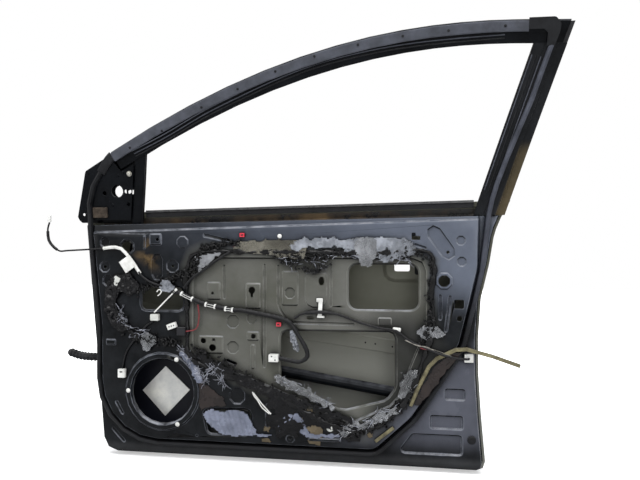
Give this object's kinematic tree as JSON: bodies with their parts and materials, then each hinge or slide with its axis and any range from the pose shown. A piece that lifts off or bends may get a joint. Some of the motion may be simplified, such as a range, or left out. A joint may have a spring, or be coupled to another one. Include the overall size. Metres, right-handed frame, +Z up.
{
  "type": "car door shell",
  "caption": "Stripped car front door shell: stamped inner panel hemmed to a curved outer skin, with its window frame, seals, side impact beam and left-over wiring.",
  "frame": {"origin": "the upper hinge seat on the front wall of the door, between its two bolt holes", "axes": "+X to the rear of the car along the door, +Y outwards through the outer skin, +Z up"},
  "size_m": [1.3042, 0.1772, 1.0523],
  "materials": {
    "black_paint": "gloss black paint",
    "grey_paint": "dark grey-black body paint",
    "olive_primer": "olive primer under cavity wax",
    "dusty_rubber": "dusty blue-grey",
    "black_rubber": "matt black",
    "black_plastic": "matt black",
    "white_plastic": "off white",
    "grey_plastic": "light grey",
    "red_plastic": "red",
    "harness_tape": "black harness tape",
    "red_wire": "dark red insulation",
    "yellow_foam": "aged yellow foam",
    "brown_felt": "brown felt",
    "butyl": "tacky black sealant",
    "clear_film": "milky torn film",
    "bright_foil": "foil-faced pad",
    "zinc_steel": "zinc plated"
  },
  "bodies": {
    "root": {"inner_panel": "grey_paint", "outer_panel": "black_paint", "upper_sash": "black_paint", "rear_sash": "black_paint", "front_sash": "black_paint", "front_glass_guide": "black_paint", "rear_glass_guide": "black_paint", "glass_run_channel": "black_rubber", "sail_plate": "black_paint", "mirror_bracket": "black_paint", "sail_bolt": "zinc_steel", "felt_block": "brown_felt", "pillar_applique": "black_plastic", "header_seal": "dusty_rubber", "seal_corner_rear": "black_rubber", "seal_corner_front": "black_rubber", "door_weatherstrip": "black_rubber", "belt_reinforcement_inner": "grey_paint", "belt_reinforcement_outer": "olive_primer", "belt_moulding": "black_plastic", "impact_beam": "black_paint", "beam_bracket_front": "black_paint", "beam_bracket_rear": "black_paint", "hinge_reinforcement": "black_paint", "latch_reinforcement": "black_paint", "handle_bracket": "black_paint", "damping_pad": "bright_foil", "speaker_nut_1": "grey_plastic", "speaker_nut_2": "grey_plastic", "speaker_nut_3": "grey_plastic", "red_clip_upper": "red_plastic", "white_clip": "white_plastic", "loose_tie": "white_plastic", "edge_stud": "zinc_steel", "rubber_plug": "black_rubber", "grey_plug": "grey_plastic", "harness_boot": "black_rubber", "harness_trunk": "harness_tape", "trunk_connector": "white_plastic", "second_cable": "harness_tape", "latch_lead": "harness_tape", "latch_lead_sleeve": "harness_tape", "latch_connector": "white_plastic", "speaker_lead": "harness_tape", "speaker_connector": "white_plastic", "grey_connector": "grey_plastic", "white_connector": "white_plastic", "red_wires": "red_wire", "black_plug": "black_plastic", "white_sleeve": "white_plastic", "mirror_lead": "harness_tape", "mirror_lead_sleeve": "harness_tape", "mirror_lead_terminal": "white_plastic", "butyl_bead": "butyl", "foam_strip": "yellow_foam", "film_left": "clear_film", "film_top": "clear_film", "film_lower": "clear_film", "film_sill": "clear_film"}
  },
  "joints": []
}
